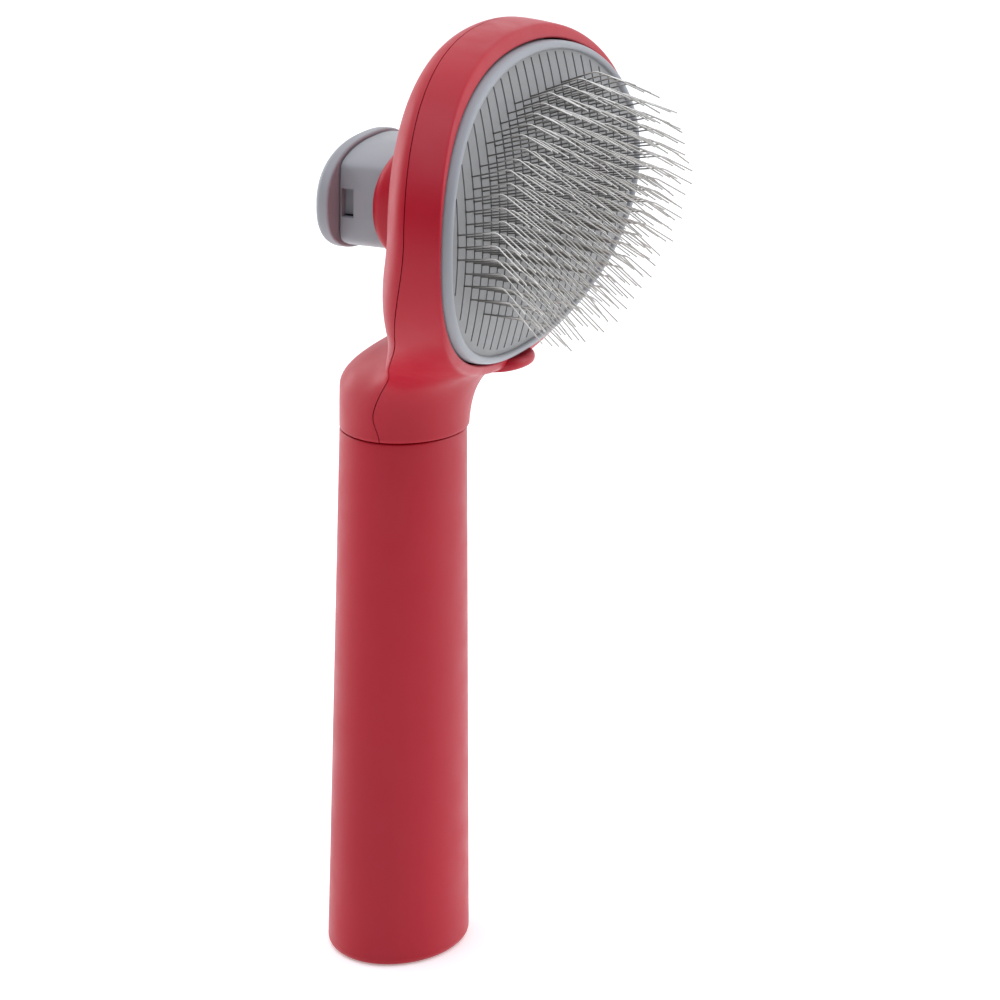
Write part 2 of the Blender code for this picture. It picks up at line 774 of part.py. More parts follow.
def make_carrier(material, group):
    """The rigid plate that holds the pad, with a cup for the spring behind it."""
    depth = CROWN_SHEET_DEPTH + CROWN_SHEET + PAD + 2 * GAP
    carrier = add("pin_carrier", domed_plate(BED_HALF, depth, CARRIER), material, group)
    outer = SPRING_RADIUS + SPRING_WIRE + GAP + SPRING_SEAT_WALL
    seat = spring_seat_y()
    boolean(carrier, helper("spring_cup", rod(outer, seat - 1 * MM, seat + 3 * MM, 0, KNOB_Z, 20)), "UNION")
    well = rod(SPRING_RADIUS + SPRING_WIRE + GAP, seat, seat + 5 * MM, 0, KNOB_Z, 20)
    boolean(carrier, helper("spring_well", well), "DIFFERENCE")
    cut_legs(carrier)
    holes = []
    for x, z in screw_places():
        holes.append(rod(HEAD_HOLE, -40 * MM, carrier_back_y(z) - CARRIER_COUNTERBORE, x, z))
    boolean(carrier, helper("screw_heads", joined(holes)), "DIFFERENCE")
    shanks = [rod(SHANK_HOLE, -32 * MM, -16 * MM, x, z, 8) for x, z in screw_places()]
    boolean(carrier, helper("screw_shanks", joined(shanks)), "DIFFERENCE")
    return carrier


def make_carrier_screws(material, group):
    screws = []
    for number, (x, z) in enumerate(screw_places(), start=1):
        under_head = carrier_back_y(z) - CARRIER_COUNTERBORE - 0.1 * MM
        length = carrier_screw_end(x, z) - under_head
        screws.append(screw(f"carrier_screw_{number}", length, x, under_head, z, 1, material, group))
    return screws


def make_spigot_screws(material, group):
    screws = []
    for number, z in enumerate(SPIGOT_SCREW_Z, start=1):
        under_head = SPIGOT[1] - 2.2 * MM + 0.1 * MM
        screws.append(screw(f"spigot_screw_{number}", 13 * MM, 0.0, under_head, z, -1, material, group))
    return screws


# Plunger, button cap and spring


def make_plunger(material, group):
    """The oval tube that the thumb pushes, its flange inside the shell and the legs that carry the face."""
    tube_end = CAP_FRONT_Y - 0.1 * MM
    plunger = add("plunger", knob_prism(KNOB_BODY, KNOB_FLAT, PLUNGER_FLANGE_Y[0], tube_end), material, group)
    flange = oval_prism(PLUNGER_FLANGE, OVAL_POWER, *PLUNGER_FLANGE_Y, KNOB_Z, 32)
    boolean(plunger, helper("plunger_flange", flange), "UNION")
    legs = []
    for x, z in leg_places():
        outer_z = z + math.copysign(LEG[1] / 2, z - HEAD_Z)
        front = dome_y(SLAT_THICKNESS + GAP, outer_z)
        legs.append(leg_box(x, z, front, PLUNGER_FLANGE_Y[0] + 0.8 * MM))
    boolean(plunger, helper("plunger_legs", joined(legs)), "UNION")
    bake(plunger)
    inner = inset(KNOB_BODY, PLUNGER_WALL)
    flat = KNOB_FLAT - PLUNGER_WALL
    front_well = knob_prism(inner, flat, PLUNGER_FLANGE_Y[0] - 5 * MM, PLUNGER_WEB_Y[0])
    rear_well = knob_prism(inner, flat, PLUNGER_WEB_Y[1], tube_end + 5 * MM)
    boolean(plunger, helper("spring_room", front_well), "DIFFERENCE")
    boolean(plunger, helper("hook_room", rear_well), "DIFFERENCE")
    depth, height = WINDOW
    window = block(
        (-KNOB_FLAT - 3 * MM, CAP_FRONT_Y - depth, KNOB_Z - height / 2),
        (KNOB_FLAT + 3 * MM, CAP_FRONT_Y - 0.5 * MM, KNOB_Z + height / 2),
    )
    boolean(plunger, helper("snap_windows", window), "DIFFERENCE")
    return smooth(bake(plunger))


def make_button_cap(material, group):
    """The thumb piece: an oval disc with two hooks that snap into the windows of the plunger."""
    steps = ((0.5, 0.0), (0.0, 0.5), (0.0, 2.0), (0.5, 2.7), (1.6, CAP_THICKNESS / MM))
    rings = []
    for cut, rise in steps:
        outline = knob_outline(inset(KNOB_CAP, cut * MM), 0.0, 0.0, 36)
        y = CAP_FRONT_Y + GAP / 3 + rise * MM
        rings.append([(x, y, KNOB_Z + z) for x, z in outline])
    cap = add("button_cap", loft(rings), material, group)
    hooks = []
    reach = KNOB_FLAT - PLUNGER_WALL - GAP
    half_height = WINDOW[1] / 2 - GAP
    for side in (-1, 1):
        spans = (
            (reach - 1.4 * MM, reach, CAP_FRONT_Y - WINDOW[0] + GAP, CAP_FRONT_Y + 1 * MM),
            (reach - 0.5 * MM, reach + 1.2 * MM, CAP_FRONT_Y - WINDOW[0] + GAP, CAP_FRONT_Y - 1.7 * MM),
        )
        for near, far, low_y, high_y in spans:
            ends = sorted((side * near, side * far))
            low = (ends[0], low_y, KNOB_Z - half_height)
            high = (ends[1], high_y, KNOB_Z + half_height)
            hooks.append(block(low, high))
    for number, hook in enumerate(hooks):
        boolean(cap, helper(f"cap_hook_{number}", hook), "UNION")
    return smooth(bake(cap))


def coil_advance(turn):
    """How far along the spring this many turns reach: the first and last turn lie nearly flat."""
    dead = 2.2 * SPRING_WIRE / (PLUNGER_WEB_Y[0] - spring_seat_y())
    live_turns = SPRING_TURNS - 2
    live = min(max(turn - 1.0, 0.0), live_turns) / live_turns
    ends = min(turn, 1.0) + max(turn - 1.0 - live_turns, 0.0)
    return dead * ends + (1.0 - 2 * dead) * live


def make_spring(material, group):
    """A compression coil between the carrier's cup and the web inside the plunger."""
    start = spring_seat_y() + SPRING_WIRE + 0.1 * MM
    end = PLUNGER_WEB_Y[0] - SPRING_WIRE - 0.1 * MM
    steps_per_turn = 10
    curve = bpy.data.curves.new("return_spring", "CURVE")
    curve.dimensions = "3D"
    curve.bevel_depth = SPRING_WIRE
    curve.bevel_resolution = 1
    curve.use_fill_caps = True
    path = curve.splines.new("POLY")
    path.points.add(SPRING_TURNS * steps_per_turn)
    for step, point in enumerate(path.points):
        turn = step / steps_per_turn
        angle = 2 * math.pi * turn
        x, z = SPRING_RADIUS * math.cos(angle), SPRING_RADIUS * math.sin(angle)
        point.co = (x, blend(start, end, coil_advance(turn)), KNOB_Z + z, 1.0)
    curve.materials.append(material)
    spring = bpy.data.objects.new("return_spring", curve)
    group.objects.link(spring)
    return spring


def main():
    clear_scene()
    parts = collection("slicker_brush")
    cutters = collection("cutters")
    cutters.hide_render = True
    red = plastic("red_plastic", RED)
    pale = plastic("pale_grey_plastic", PALE_GREY)
    grey = plastic("slat_grey_plastic", SLAT_GREY, 0.5)
    dark = plastic("inner_plastic", DARK_GREY, 0.6)
    rubber = plastic("pad_rubber", DARK_GREY, 0.8)
    steel = metal("pin_steel", STEEL)
    zinc = metal("screw_steel", STEEL, 0.4)

    slide = bpy.data.objects.new("button_slide", None)
    slide.location = (0.0, 0.0, KNOB_Z)
    parts.objects.link(slide)

    make_handle(red, parts)
    make_head_shells(red, parts)
    ring = make_face_ring(pale, parts)
    slats = make_slat_plate(grey, parts)
    make_pins(steel, parts)
    make_pad(rubber, parts)
    make_carrier(dark, parts)
    plunger = make_plunger(pale, parts)
    cap = make_button_cap(pale, parts)
    make_spring(zinc, parts)
    make_carrier_screws(zinc, parts)
    make_spigot_screws(zinc, parts)
    for moving in (ring, slats, plunger, cap):
        moving.parent = slide
        moving.matrix_parent_inverse = Matrix.Translation(-slide.location)


main()
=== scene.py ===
"""Looks for the self-cleaning slicker brush: fine meshes, plastic, steel and light over the frame."""

import math

import bmesh
import bpy
import numpy as np
from mathutils import Matrix, Vector


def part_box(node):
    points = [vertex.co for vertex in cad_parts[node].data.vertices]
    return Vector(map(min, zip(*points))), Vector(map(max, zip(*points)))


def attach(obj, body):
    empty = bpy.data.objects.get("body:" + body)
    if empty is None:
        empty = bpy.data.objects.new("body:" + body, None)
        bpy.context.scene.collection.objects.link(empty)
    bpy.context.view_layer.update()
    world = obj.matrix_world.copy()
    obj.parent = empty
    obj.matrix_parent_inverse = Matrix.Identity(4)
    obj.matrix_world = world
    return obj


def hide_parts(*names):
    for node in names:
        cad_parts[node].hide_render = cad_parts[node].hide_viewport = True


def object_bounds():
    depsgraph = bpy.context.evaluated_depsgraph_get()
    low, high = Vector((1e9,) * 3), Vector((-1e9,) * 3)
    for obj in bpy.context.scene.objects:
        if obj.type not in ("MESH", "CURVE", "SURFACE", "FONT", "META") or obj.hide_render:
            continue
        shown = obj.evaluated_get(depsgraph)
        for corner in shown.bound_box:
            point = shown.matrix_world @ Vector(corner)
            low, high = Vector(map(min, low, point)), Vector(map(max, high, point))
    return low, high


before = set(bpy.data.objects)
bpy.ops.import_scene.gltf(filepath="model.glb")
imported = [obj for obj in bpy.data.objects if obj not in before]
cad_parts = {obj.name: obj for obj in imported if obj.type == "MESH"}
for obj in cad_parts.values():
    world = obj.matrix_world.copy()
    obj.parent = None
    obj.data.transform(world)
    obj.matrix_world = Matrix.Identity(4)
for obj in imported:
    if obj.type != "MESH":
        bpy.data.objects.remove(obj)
CAD_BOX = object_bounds()

MM = 0.001

# Shape, as in the part: handle, neck and head
HANDLE_LENGTH = 116.5 * MM
HANDLE_FOOT = (18.5 * MM, 14.8 * MM)
HANDLE_TOP = (15.3 * MM, 13.1 * MM)
HANDLE_STRAIGHT_Z = (6.0 * MM, HANDLE_LENGTH - 2.0 * MM)
HANDLE_WALL = 2.4 * MM
HANDLE_FLOOR = 3.0 * MM
HANDLE_COUNT = 192
FOOT_ROUND = 1.8 * MM
EDGE_ROUND = 0.35 * MM
JOINT_Z = 116.8 * MM
SPIGOT = (12.3 * MM, 10.1 * MM)
SPIGOT_LENGTH = 21.0 * MM
SPIGOT_PLAY = 0.35 * MM
SPIGOT_ROOM = 2.0 * MM
SPIGOT_LEAD = (1.0 * MM, 1.5 * MM)
SHOULDER_Z = (125.7 * MM, 150.2 * MM)
SHOULDER_LEAN = 26.4 * MM
NECK_SWELL = 0.005
NECK_SWELL_POWER = 2.303
NECK_FADE_Z = (142.0 * MM, 162.0 * MM)
NECK_LEAST_DEPTH = 0.5 * MM
NECK_LEAST_FADE = 0.01
UNION_SQUARENESS = 5
HEAD_Z = 168.0 * MM
HEAD_HALF = (54.2 * MM, 35.5 * MM)
HEAD_LOW_HALF = 36.5 * MM
HEAD_DEPTH = 8.1 * MM
HEAD_CROWN = 13.4 * MM
LOW_CROWN = 0.5
CROWN_Z = (134.0 * MM, 162.0 * MM)
OVAL_POWER = 2.13
OVAL_CORNER = 12.0 * MM
LIP_SETBACK = 0.6 * MM
LIP_SQUARENESS = 40
RIM_TAPER = 0.8 * MM
RIM_TAPER_POWER = 1.6
SHELL_WALL = 2.2 * MM
SEAM_RISE_Z = (120.0 * MM, 148.0 * MM)
SEAM_RISE = 0.82
SEAM_LATE_Z = (140.0 * MM, 170.0 * MM)
SEAM_FOOT_Z = (116.8 * MM, 123.0 * MM)
SEAM_FOOT = 1.5 * MM
SEAM_GAP = 0.2 * MM
SEAM_BLOCK_REACH = 80.0 * MM
SEAM_BLOCK_Z = (80.0 * MM, 206.0 * MM)
SEAM_BLOCK_ROWS = 120

# How the body's sections are drawn: rays round the seam's middle, ended at the surface by halving
HEAD_ANGLES = (-50, 88)
RAYS = 1440
RAY_REACH = 3.0
HALVINGS = 34
BODY_START_Z = JOINT_Z + 0.3 * MM
BODY_CORNER = 5.0 * MM
BODY_COUNT = 320
BODY_STEPS = (46, 104)
HOLLOW_START_Z = JOINT_Z + 3 * MM
HOLLOW_COUNT = 128
HOLLOW_STEPS = (20, 48)

# Face, slits and pins
FACE_Y = -31.6 * MM
DOME_RADIUS = 103.4 * MM
DOME_Z = 167.7 * MM
FACE_Z = 167.6 * MM
RING_HALF = (52.4 * MM, 31.8 * MM)
RING_PLAY = 0.35 * MM
RIM_HALF_WIDTH = 0.85 * MM
RIM_MIDDLE = 0.9 * MM
RIM_BASE = 0.1 * MM
RIM_RISE = 1.05 * MM
RIM_FULLNESS = 0.8
RIM_UNDER = 0.6 * MM
RIM_BACK = 0.9 * MM
RING_COUNT = 288
SKIRT_WALL = 1.3 * MM
SKIRT_DEPTH = 9.5 * MM
OPENING_MOUTH = ((-0.6, -4.0), (-0.45, 0.0), (-0.25, 0.1), (-0.1, 0.25), (0.0, 0.5))  # mm
OPENING_DEPTH = 10.0 * MM
OPENING_COUNT = 256
SLAT_THICKNESS = 1.8 * MM
SLAT_PLAY = 0.3 * MM
SLAT_ANGLE = 88
SLAT_ROWS = 89
SLIT_COUNT = 23
SLIT_PITCH = 4.235 * MM
SLIT_WIDTH = 0.66 * MM
SLIT_HALF = (48.8 * MM, 29.3 * MM)
SLIT_CUT_Y = (-40.0 * MM, -20.0 * MM)
PIN_PITCH = 2.45 * MM
PIN_MARGIN = 6.4 * MM
PIN_LOWER = 8.1 * MM
PIN_UPPER = 7.0 * MM
PIN_LIFT = math.radians(9.0)
PIN_BEND = math.radians(39.0)
PIN_SPLAY = math.radians(19.0)
PIN_CORNER = 1.1 * MM
PIN_START_DEPTH = 3.2 * MM
PIN_ROOT_SWAY = 0.003  # radians
PIN_TIP_SWAY = 0.055  # radians
PIN_LENGTH_SWAY = 0.25 * MM
WIRE = 0.165 * MM

# Collar, button and finger rest
KNOB_Z = 167.0 * MM
KNOB_POWER = 2.4
KNOB_SQUARENESS = 30
KNOB_CORNER = 6.0 * MM
KNOB_BODY = (21.0 * MM, 10.9 * MM)
KNOB_FLAT = 16.3 * MM
KNOB_CAP = (21.7 * MM, 11.5 * MM)
CAP_UNDER_Y = 7.7 * MM
CAP_UNDER_ROUND = 0.5 * MM
CAP_SIDE = 1.75 * MM
CAP_RIM_ROUND = (1.3 * MM, 1.25 * MM)
CAP_DISH = ((3.0 * MM, 2.95 * MM), (6.0 * MM, 2.7 * MM), (10.0 * MM, 2.6 * MM))
STEM_WALL = 1.8 * MM
STEM_REACH_Y = 7.1 * MM
STEM_EDGE = ((0.15 * MM, 7.4 * MM), (0.4 * MM, 7.5 * MM))
STEM_ROOMS_Y = ((-20.0 * MM, 1.5 * MM), (3.2 * MM, 12.0 * MM))
FLANGE_Y = (-15.0 * MM, -13.5 * MM)
FLANGE_HALF = (21.0 * MM, 14.5 * MM)
FLANGE_COUNT = 128
WINDOW_X = 20.0 * MM
WINDOW_Y = (4.4 * MM, 7.1 * MM)
WINDOW_HALF_Z = 3.0 * MM
HOOK_THICKNESS = 1.4 * MM
HOOK_Y = (4.7 * MM, 8.6 * MM)
HOOK_HALF_Z = 2.7 * MM
LEG_COLUMN = 4.5
LEG_RISE = 9.0 * MM
LEG_HALF = (1.1 * MM, 4.0 * MM)
LEG_BACK_Y = -13.6 * MM
LEG_PLAY = 0.3 * MM
BOSS_HALF = (20.0 * MM, 13.4 * MM)
BOSS_POWER = 2.6
BOSS_BASE_Y = -12.4 * MM
BOSS_RIM_Y = -0.5 * MM
BOSS_DROP = 3.4 * MM
BOSS_FOOT = 3.4 * MM
BOSS_FOOT_SHARE = 0.37
BOSS_STRAIGHT = (0.55, 0.7)
BOSS_ROUND = 2.2 * MM
BOSS_TURN = 0.76
BOSS_TURN_RISE = 0.22
BOSS_TOP = 7.0 * MM
COLLAR_COUNT = 192
KNOB_PLAY = 0.3 * MM
PASSAGE_Y = (-24.0 * MM, 5.0 * MM)
REST_HALF_WIDTH = 6.5 * MM
REST_Y = (-19.0 * MM, -28.8 * MM)
REST_TOP_Z = 135.3 * MM
REST_LOW_Z = (131.4 * MM, 132.9 * MM)
REST_TIP = 0.6 * REST_HALF_WIDTH
REST_EDGE = 0.9 * MM

PLASTIC_SHINE = 0.25
RED = (0.41, 0.010, 0.024)
PALE_GREY = (0.31, 0.315, 0.335)
SLAT_GREY = (0.25, 0.247, 0.247)
DARK_GREY = (0.035, 0.035, 0.037)
STEEL = (0.72, 0.70, 0.67)
WIRE_STEEL = (0.60, 0.575, 0.54)
FLOOR = (0.92, 0.92, 0.92)
FLOOR_GLOW = 0.30
FLOOR_REACH = 6.0
FLOOR_DROP = 0.05 * MM

# The world is dim this way and bright the other way, with a smooth fade between these two cosines
DIM_SIDE = (-0.926, -0.377, 0.0)
WORLD_FADE = (-0.7, 0.95)
WORLD_BRIGHT = 1.15
WORLD_DIM = 0.05
WORLD_TINT = (0.96, 0.98, 1.0, 1.0)
LIGHT_AIM = (0.0, 0.0, 0.12)

# A long lens at the side of the head, a little above it
LENS = 134.3
SENSOR_WIDTH = 36.0
CLIP_START = 0.05
CAMERA_AZIMUTH = math.radians(-67.83)
CAMERA_ELEVATION = math.radians(17.15)
CAMERA_ROLL = math.radians(0.98)
CAMERA_TARGET = (7.79 * MM, -19.12 * MM, 100.28 * MM)
CAMERA_DISTANCE = 792.2 * MM


# Formulas, on numbers or arrays


def smooth_step(start, end, value):
    share = np.clip((value - start) / (end - start), 0.0, 1.0)
    return share * share * (3.0 - 2.0 * share)


def blend(start, end, share):
    return start + (end - start) * share


def inset(half, amount):
    return half[0] - amount, half[1] - amount


def oval_value(half, power, across, along):
    """1 on the superellipse, less inside it."""
    return (np.abs(across / half[0]) ** power + np.abs(along / half[1]) ** power) ** (1 / power)


def dome_y(depth, z):
    return FACE_Y + depth + (z - DOME_Z) ** 2 / (2 * DOME_RADIUS)


def lip_y(z):
    return dome_y(LIP_SETBACK, z)


def seam_y(z):
    """The widest outline: parallel to the face above, and bent back to the handle's middle below."""
    rise = SEAM_RISE * smooth_step(*SEAM_RISE_Z, z) + (1 - SEAM_RISE) * smooth_step(*SEAM_LATE_Z, z)
    return dome_y(HEAD_DEPTH, z) * rise - SEAM_FOOT * (1.0 - smooth_step(*SEAM_FOOT_Z, z))


def crown_depth(z):
    return HEAD_CROWN * blend(LOW_CROWN, 1.0, smooth_step(*CROWN_Z, z))


def neck_value(x, y, z, wall):
    swell = NECK_SWELL * MM * (max(0.0, z - JOINT_Z) / MM) ** NECK_SWELL_POWER
    front = max(lip_y(z), -HANDLE_TOP[1] - swell)
    rear = HANDLE_TOP[1] - SHOULDER_LEAN * smooth_step(*SHOULDER_Z, z)
    depth = max(NECK_LEAST_DEPTH, (rear - front) / 2 - wall)
    fade = max(NECK_LEAST_FADE, 1.0 - smooth_step(*NECK_FADE_Z, z))
    return np.hypot(x / (HANDLE_TOP[0] - wall), (y - (front + rear) / 2) / depth) / fade


def head_value(x, y, z, wall):
    behind = y - seam_y(z)
    depth = seam_y(z) - lip_y(z)
    front = np.clip(-behind / depth, 0.0, 1.0)
    taper = RIM_TAPER * front**RIM_TAPER_POWER + wall
    fuller = (HEAD_LOW_HALF - HEAD_HALF[1]) * (1.0 - front**RIM_TAPER_POWER) if z < HEAD_Z else 0.0
    outline = oval_value((HEAD_HALF[0] - taper, HEAD_HALF[1] + fuller - taper), OVAL_POWER, x, z - HEAD_Z)
    ahead = np.abs(np.minimum(behind, 0.0) / (depth - wall))
    before = (outline**LIP_SQUARENESS + ahead**LIP_SQUARENESS) ** (1 / LIP_SQUARENESS)
    after = np.hypot(outline, np.maximum(behind, 0.0) / (crown_depth(z) - wall))
    return np.where(behind < 0, before, after)


def body_value(x, y, z, wall):
    """1 on the surface of neck and head run together, less inside."""
    neck, head = neck_value(x, y, z, wall), head_value(x, y, z, wall)
    return (neck**-UNION_SQUARENESS + head**-UNION_SQUARENESS) ** (-1 / UNION_SQUARENESS)


# Meshes


def mesh_object(name, points, faces):
    mesh = bpy.data.meshes.new(name)
    mesh.from_pydata([tuple(point) for point in points], [], faces)
    mesh.validate()
    item = bpy.data.objects.new(name, mesh)
    bpy.context.scene.collection.objects.link(item)
    return item


def loft(name, rings, closed=False):
    """A surface through rings with the same number of points, capped at both ends unless closed on itself."""
    count = len(rings[0])
    points = np.concatenate([np.asarray(ring) for ring in rings])
    pairs = [(row, row + 1) for row in range(len(rings) - 1)]
    if closed:
        pairs.append((len(rings) - 1, 0))
    faces = []
    for low, high in pairs:
        for step in range(count):
            after = (step + 1) % count
            faces.append((low * count + step, low * count + after, high * count + after, high * count + step))
    if not closed:
        faces.append(tuple(range(count - 1, -1, -1)))
        faces.append(tuple((len(rings) - 1) * count + step for step in range(count)))
    item = mesh_object(name, points, faces)
    return face_out(item)


def face_out(item):
    """Turns every face outwards."""
    shape = bmesh.new()
    shape.from_mesh(item.data)
    bmesh.ops.recalc_face_normals(shape, faces=shape.faces)
    shape.to_mesh(item.data)
    shape.free()
    return item


def combine(target, other, operation):
    """Cuts or joins two closed solids and drops the second."""
    step = target.modifiers.new(operation, "BOOLEAN")
    step.operation = operation
    step.solver = "MANIFOLD"
    step.object = other
    apply_modifiers(target)
    bpy.data.objects.remove(other, do_unlink=True)
    return target


def apply_modifiers(item):
    bpy.context.view_layer.update()
    graph = bpy.context.evaluated_depsgraph_get()
    item.data = bpy.data.meshes.new_from_object(item.evaluated_get(graph))
    item.modifiers.clear()
    return item


def copy_of(item, name):
    twin = bpy.data.objects.new(name, item.data.copy())
    bpy.context.scene.collection.objects.link(twin)
    return twin


def smooth(item, degrees=32.0):
    item.data.shade_smooth()
    item.data.set_sharp_from_angle(angle=math.radians(degrees))
    return item


def spread(points, count, corner):
    """The closed outline with its points moved together where it bends, by `corner` for a radian of bend."""
    points = np.asarray(points)
    ahead = np.roll(points, -1, axis=0) - points
    length = np.linalg.norm(ahead, axis=1)
    heading = np.arctan2(ahead[:, 1], ahead[:, 0])
    bend = np.abs((np.roll(heading, -1) - heading + math.pi) % (2 * math.pi) - math.pi)
    measure = np.concatenate([[0.0], np.cumsum(length + corner * (bend + np.roll(bend, 1)) / 2)])
    targets = np.linspace(0.0, measure[-1], count, endpoint=False)
    looped = np.vstack([points, points[:1]])
    return np.stack([np.interp(targets, measure, looped[:, axis]) for axis in range(2)], axis=1)


def body_ring(z, wall, count):
    """Neck and head cut at height z, with its points closer together where it bends."""
    low_half = HEAD_LOW_HALF if z < HEAD_Z else HEAD_HALF[1]
    share = max(0.0, 1 - abs((z - HEAD_Z) / low_half) ** OVAL_POWER)
    wide = max(HANDLE_TOP[0], HEAD_HALF[0] * share ** (1 / OVAL_POWER))
    angle = np.linspace(-math.pi / 2, 1.5 * math.pi, RAYS, endpoint=False)
    x, y = wide * np.cos(angle), HANDLE_TOP[1] * np.sin(angle)
    inside, outside = np.zeros_like(angle), np.full_like(angle, RAY_REACH)
    for _ in range(HALVINGS):
        half_way = (inside + outside) / 2
        within = body_value(x * half_way, seam_y(z) + y * half_way, z, wall) < 1.0
        inside = np.where(within, half_way, inside)
        outside = np.where(within, outside, half_way)
    outline = np.stack([x * inside, np.maximum(lip_y(z) + wall, seam_y(z) + y * inside)], axis=1)
    return np.column_stack([spread(outline, count, BODY_CORNER), np.full(count, z)])


def body_loft(name, start, wall, count, steps, below=()):
    """The body inset by the wall, in even steps up the neck and then in even angles over the head."""
    neck_steps, head_steps = steps
    low = HEAD_Z + (HEAD_HALF[1] - wall) * math.sin(math.radians(HEAD_ANGLES[0]))
    heights = [blend(start, low, step / neck_steps) for step in range(neck_steps)]
    for angle in np.linspace(*HEAD_ANGLES, head_steps):
        heights.append(HEAD_Z + (HEAD_HALF[1] - wall) * math.sin(math.radians(angle)))
    rings = list(below) + [body_ring(z, wall, count) for z in heights]
    return loft(name, rings)


def ellipse_ring(half, z, count):
    angle = np.linspace(-math.pi / 2, 1.5 * math.pi, count, endpoint=False)
    return np.column_stack([half[0] * np.cos(angle), half[1] * np.sin(angle), np.full(count, z)])


def front_block(shift):
    """Everything in front of the seam's surface, moved back by shift."""
    far = SEAM_BLOCK_REACH
    heights = [SEAM_BLOCK_Z[0]] + list(np.linspace(JOINT_Z, SEAM_BLOCK_Z[1], SEAM_BLOCK_ROWS))
    rings = []
    for z in heights:
        y = seam_y(z) + shift
        rings.append([(-far, -far, z), (far, -far, z), (far, y, z), (-far, y, z)])
    return loft("front_block", rings)


def oval_outline(half, power, count):
    """The superellipse as points, closer together at its ends."""
    angle = np.linspace(0, 2 * math.pi, 4 * count, endpoint=False)
    reach = 1 / oval_value(half, power, np.cos(angle), np.sin(angle))
    outline = np.stack([reach * np.cos(angle), reach * np.sin(angle)], axis=1)
    return spread(outline, count, OVAL_CORNER)


def domed_sweep(half, profile, count):
    """A closed profile of (inset, depth behind the slats' front) carried round the oval."""
    columns = []
    for cut, depth in profile:
        outline = oval_outline(inset(half, cut), OVAL_POWER, count)
        z = FACE_Z + outline[:, 1]
        columns.append(np.column_stack([outline[:, 0], dome_y(depth, z), z]))
    return columns


def opening_cutter():
    """The opening of the front shell, with a mouth that flares so that the lip is rounded."""
    profile = [(cut * MM, LIP_SETBACK + depth * MM) for cut, depth in OPENING_MOUTH]
    profile.append((0.0, OPENING_DEPTH))
    return loft("opening", domed_sweep(inset(RING_HALF, -RING_PLAY), profile, OPENING_COUNT))


def knob_outline(half, flat, count):
    """The button's oval with its ends cut flat and the corners rounded."""
    angle = np.linspace(0, 2 * math.pi, 6 * count, endpoint=False)
    cosine, sine = np.cos(angle), np.sin(angle)
    value = oval_value(half, KNOB_POWER, cosine, sine)
    if flat:
        ends = np.abs(cosine / flat)
        value = (value**KNOB_SQUARENESS + ends**KNOB_SQUARENESS) ** (1 / KNOB_SQUARENESS)
    return spread(np.stack([cosine / value, sine / value], axis=1), count, KNOB_CORNER)


def knob_rings(half, flat, profile, count=160):
    """Outlines of the button's oval at each (inset, y) of the profile."""
    rings = []
    for cut, y in profile:
        outline = knob_outline(inset(half, cut), flat - cut if flat else 0.0, count)
        rings.append(np.column_stack([outline[:, 0], np.full(count, y), KNOB_Z + outline[:, 1]]))
    return rings


def box(name, low, high):
    x, y, z = zip(low, high)
    corners = [(x[0], y[0]), (x[1], y[0]), (x[1], y[1]), (x[0], y[1])]
    return loft(name, [[(*corner, level) for corner in corners] for level in z])


# Materials


def set_range(node, before, after):
    """The ends of a Map Range node."""
    sockets = ("From Min", "From Max", "To Min", "To Max")
    for socket, number in zip(sockets, (*before, *after)):
        node.inputs[socket].default_value = number


class Nodes:
    """A material's node tree, with short calls for the nodes that these materials use."""

    def __init__(self, name):
        self.material = bpy.data.materials.new(name)
        self.material.use_nodes = True
        self.tree = self.material.node_tree
        self.shader = self.tree.nodes["Principled BSDF"]
        coordinates = self.tree.nodes.new("ShaderNodeTexCoord")
        self.place = coordinates.outputs["Object"]

    def noise(self, scale, detail=3.0, stretch=None):
        place = self.place
        if stretch:
            mapping = self.tree.nodes.new("ShaderNodeMapping")
            mapping.inputs["Scale"].default_value = stretch
            self.tree.links.new(self.place, mapping.inputs["Vector"])
            place = mapping.outputs["Vector"]
        node = self.tree.nodes.new("ShaderNodeTexNoise")
        node.inputs["Scale"].default_value = scale
        node.inputs["Detail"].default_value = detail
        self.tree.links.new(place, node.inputs["Vector"])
        return node.outputs["Fac"]

    def between(self, value, low, high, start=0.3, end=0.7):
        node = self.tree.nodes.new("ShaderNodeMapRange")
        self.tree.links.new(value, node.inputs["Value"])
        set_range(node, (start, end), (low, high))
        return node.outputs["Result"]

    def mix(self, share, first, second):
        node = self.tree.nodes.new("ShaderNodeMix")
        node.data_type = "RGBA"
        self.tree.links.new(share, node.inputs["Factor"])
        node.inputs["A"].default_value = (*first, 1.0)
        node.inputs["B"].default_value = (*second, 1.0)
        return node.outputs["Result"]

    def bump(self, height, strength, distance, under=None):
        node = self.tree.nodes.new("ShaderNodeBump")
        node.inputs["Strength"].default_value = strength
        node.inputs["Distance"].default_value = distance
        self.tree.links.new(height, node.inputs["Height"])
        if under:
            self.tree.links.new(under, node.inputs["Normal"])
        return node.outputs["Normal"]

    def calculate(self, operation, first, second):
        node = self.tree.nodes.new("ShaderNodeMath")
        node.operation = operation
        for socket, value in zip(node.inputs, (first, second)):
            if isinstance(value, float):
                socket.default_value = value
            else:
                self.tree.links.new(value, socket)
        return node.outputs["Value"]

    def feed(self, socket, value):
        self.tree.links.new(value, self.shader.inputs[socket])


def tint(colour, amount):
    return tuple(channel * amount for channel in colour)


